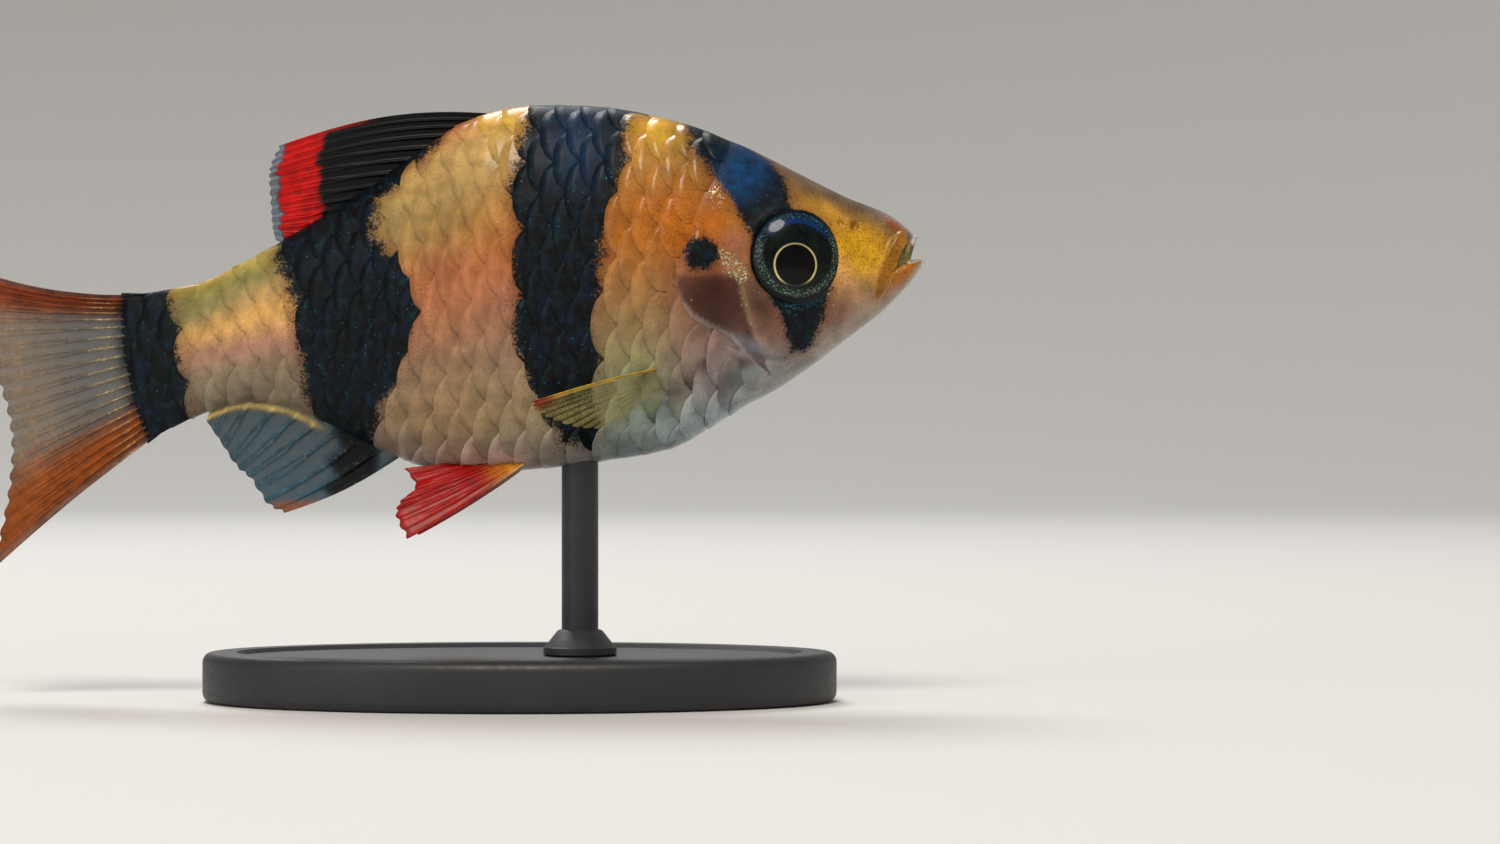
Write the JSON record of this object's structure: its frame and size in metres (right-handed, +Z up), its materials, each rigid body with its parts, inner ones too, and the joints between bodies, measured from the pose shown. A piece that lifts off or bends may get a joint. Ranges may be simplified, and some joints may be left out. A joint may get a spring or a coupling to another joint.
{
  "type": "tiger barb",
  "caption": "Still, life-size model of a tiger barb swimming with its mouth open and its back fin lowered, held on one short rod over a plain oval base.",
  "frame": {"origin": "middle of the underside of the stand's base", "axes": "+X from tail to snout, +Y to the fish's left, +Z up"},
  "size_m": [0.06, 0.023, 0.0358],
  "materials": {
    "head_skin": "wet skin, gold with black speckles and a black bar through the eye",
    "gill_cover": "wet bony plate, pinkish brown with a black spot and iridescent edges",
    "eye": "clear cornea over a dark iris with a thin gold ring",
    "body_skin": "scaled wet skin, gold to salmon pink with black bars",
    "dark_fin": "black membrane with a red band and a clear margin",
    "clear_fin": "translucent membrane on fine rays",
    "tail_fin": "translucent membrane with orange-brown lobes",
    "red_fin": "bright red membrane on fine rays",
    "stand": "plain dark matt plastic"
  },
  "bodies": {
    "root": {"head": "head_skin", "lower_jaw": "head_skin", "gill_cover_left": "gill_cover", "gill_cover_right": "gill_cover", "eye_left": "eye", "eye_right": "eye", "trunk": "body_skin", "tail_stalk": "body_skin", "dorsal_fin": "dark_fin", "anal_fin": "clear_fin", "caudal_fin": "tail_fin", "pelvic_fin_left": "red_fin", "pelvic_fin_right": "red_fin", "pectoral_fin_left": "clear_fin", "pectoral_fin_right": "clear_fin", "stand_base": "stand", "stand_rod": "stand"}
  },
  "joints": []
}
